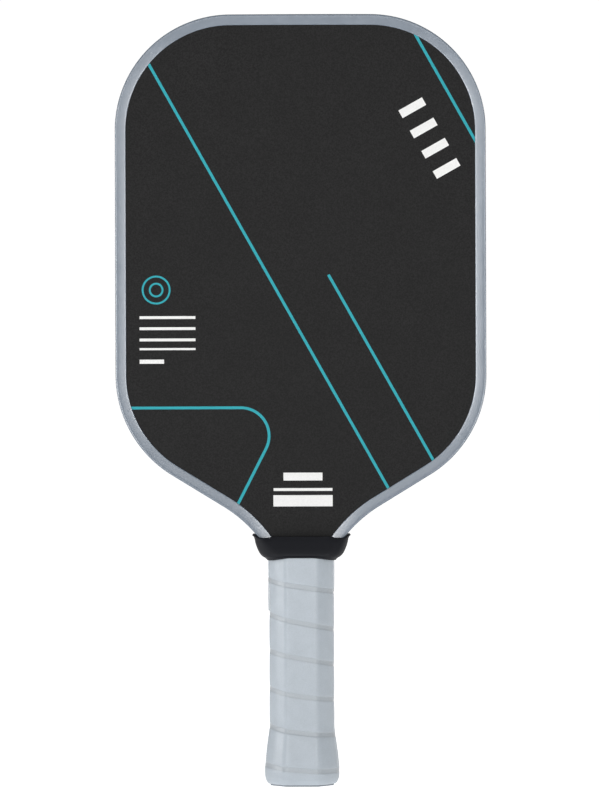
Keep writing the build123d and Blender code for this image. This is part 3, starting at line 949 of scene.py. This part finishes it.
def make_collar():
    """The rubber collar: one band with a rounded hem and lip, whose lip flares at the corners."""
    top = len(COLLAR_STATIONS) - 1
    half = COLLAR_WALL / 2
    places = [top * k / COLLAR_RINGS for k in range(COLLAR_RINGS + 1)]
    rings = [collar_ring(place, 0.0, 0.0) for place in places]
    for step in range(1, COLLAR_EDGE_STEPS):
        angle = math.pi * step / COLLAR_EDGE_STEPS
        rings.append(collar_ring(top, half * (1 - math.cos(angle)), half * math.sin(angle)))
    rings += [collar_ring(place, COLLAR_WALL, 0.0) for place in reversed(places)]
    for step in range(1, COLLAR_EDGE_STEPS):
        angle = math.pi * step / COLLAR_EDGE_STEPS
        rings.append(collar_ring(0, half * (1 + math.cos(angle)), -half * math.sin(angle)))
    vertices = [point for ring in rings for point in ring]
    faces = ring_faces(len(rings), len(rings[0]), closed_rings=True)
    collar = add_piece("throat_collar", vertices, faces, COLLAR, sharp_degrees=60)
    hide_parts("grip_collar")


# ---------------------------------------------------------------- stage, light and camera
CAMERA_DISTANCE = 2.0
CAMERA_LENS = 168.1  # focal length and sensor width, in mm
CAMERA_SENSOR = 36
CAMERA_ROLL = math.radians(0.18)
VIEW_CENTRE = Vector((-0.56 * MM, 0, cad_high.z / 2 - 0.11 * MM))
LAMP_DISTANCE = 1.3
# Azimuth in degrees and power of each tall lamp: two in front, one at the left and two behind.
TALL_LAMPS = [(-16, 3.6), (16, 3.2), (-78, 4.2), (-160, 1.6), (125, 2.4)]
TALL_LAMP_HEIGHT = 0.27
TALL_LAMP_SIZE = (0.16, 0.5)
# A wide, low-powered lamp in front, a little above the crown.
WIDE_LAMP_POWER = 0.6
WIDE_LAMP_HEIGHT = 0.49
WIDE_LAMP_SIZE = (0.32, 0.16)
FLOOR_REACH = 30.0
FLOOR_GLOW = 0.84
BACKDROP_STRENGTH = 1.02
# Strength of the sky's light near the horizon and overhead, and the shares of it that come from the
# left and the right, and from in front and behind.
SKY_LOW, SKY_HIGH = 0.42, 0.36
SKY_LEFT, SKY_RIGHT = 1.13, 0.85
SKY_FRONT, SKY_BEHIND = 1.0, 0.65


def aim(thing, target):
    """Turns a light or camera to look at a point."""
    thing.rotation_euler = (target - thing.location).to_track_quat("-Z", "Y").to_euler()


def add_lamp(azimuth, power, height, size):
    """A soft oblong lamp that looks at the paddle. Azimuth 0 is in front, and 90 at the right."""
    data = bpy.data.lights.new("strip", "AREA")
    data.shape = "RECTANGLE"
    data.size, data.size_y = size
    data.energy = power
    lamp = bpy.data.objects.new("strip", data)
    bpy.context.scene.collection.objects.link(lamp)
    turn = math.radians(azimuth)
    lamp.location = (LAMP_DISTANCE * math.sin(turn), -LAMP_DISTANCE * math.cos(turn), height)
    aim(lamp, Vector((0, 0, LENGTH / 2)))


def set_floor():
    """A plain pale floor, which glows a little so that it is as white as the sky behind it."""
    mesh = bpy.data.meshes.new("floor")
    corners = [(FLOOR_REACH * x, FLOOR_REACH * y, 0) for x, y in ((-1, -1), (1, -1), (1, 1), (-1, 1))]
    mesh.from_pydata(corners, [], [(0, 1, 2, 3)])
    material, _, _ = new_material(
        "pale_floor",
        Base_Color=(0.8, 0.8, 0.8, 1),
        Roughness=0.9,
        Specular_IOR_Level=0.0,
        Emission_Color=(1, 1, 1, 1),
        Emission_Strength=FLOOR_GLOW,
    )
    mesh.materials.append(material)
    floor = bpy.data.objects.new("floor", mesh)
    bpy.context.scene.collection.objects.link(floor)


def set_sky():
    """A white backdrop for the camera, and for light a soft sky that dims overhead, right and behind."""
    world = bpy.data.worlds.new("studio")
    bpy.context.scene.world = world
    world.use_nodes = True
    tree = world.node_tree
    light = tree.nodes["Background"]
    light.inputs["Color"].default_value = (1, 1, 1, 1)
    heading = add_node(tree, "ShaderNodeTexCoord").outputs["Generated"]
    axes = add_node(tree, "ShaderNodeSeparateXYZ", {"Vector": heading})
    upward = span(tree, axes.outputs["Z"], SKY_LOW, SKY_HIGH, 0.0, 0.9)
    sideways = span(tree, axes.outputs["X"], SKY_LEFT, SKY_RIGHT, -1.0, 1.0)
    backward = span(tree, axes.outputs["Y"], SKY_FRONT, SKY_BEHIND, 0.0, 0.4)
    strength = combine(tree, "MULTIPLY", combine(tree, "MULTIPLY", upward, sideways), backward)
    tree.links.new(strength, light.inputs["Strength"])
    white = {"Color": (1, 1, 1, 1), "Strength": BACKDROP_STRENGTH}
    backdrop = add_node(tree, "ShaderNodeBackground", white)
    seen = add_node(tree, "ShaderNodeLightPath").outputs["Is Camera Ray"]
    mixed = add_node(tree, "ShaderNodeMixShader", {"Fac": seen})
    tree.links.new(light.outputs["Background"], mixed.inputs[1])
    tree.links.new(backdrop.outputs["Background"], mixed.inputs[2])
    tree.links.new(mixed.outputs["Shader"], tree.nodes["World Output"].inputs["Surface"])


def set_camera():
    """A long lens straight in front, turned a little so that the paddle's top leans left."""
    data = bpy.data.cameras.new("camera")
    data.lens = CAMERA_LENS
    data.sensor_width = CAMERA_SENSOR
    data.clip_end = 100
    camera = bpy.data.objects.new("camera", data)
    bpy.context.scene.collection.objects.link(camera)
    camera.location = VIEW_CENTRE + Vector((0, -CAMERA_DISTANCE, 0))
    camera.rotation_euler = (math.pi / 2, CAMERA_ROLL, 0)
    bpy.context.scene.camera = camera


# ---------------------------------------------------------------- build
dress_cad_nodes()
make_guard()
make_prints()
make_grip()
make_collar()
set_floor()
set_sky()
for azimuth, power in TALL_LAMPS:
    add_lamp(azimuth, power, TALL_LAMP_HEIGHT, TALL_LAMP_SIZE)
add_lamp(0, WIDE_LAMP_POWER, WIDE_LAMP_HEIGHT, WIDE_LAMP_SIZE)
set_camera()
bpy.context.scene.view_settings.view_transform = "Standard"
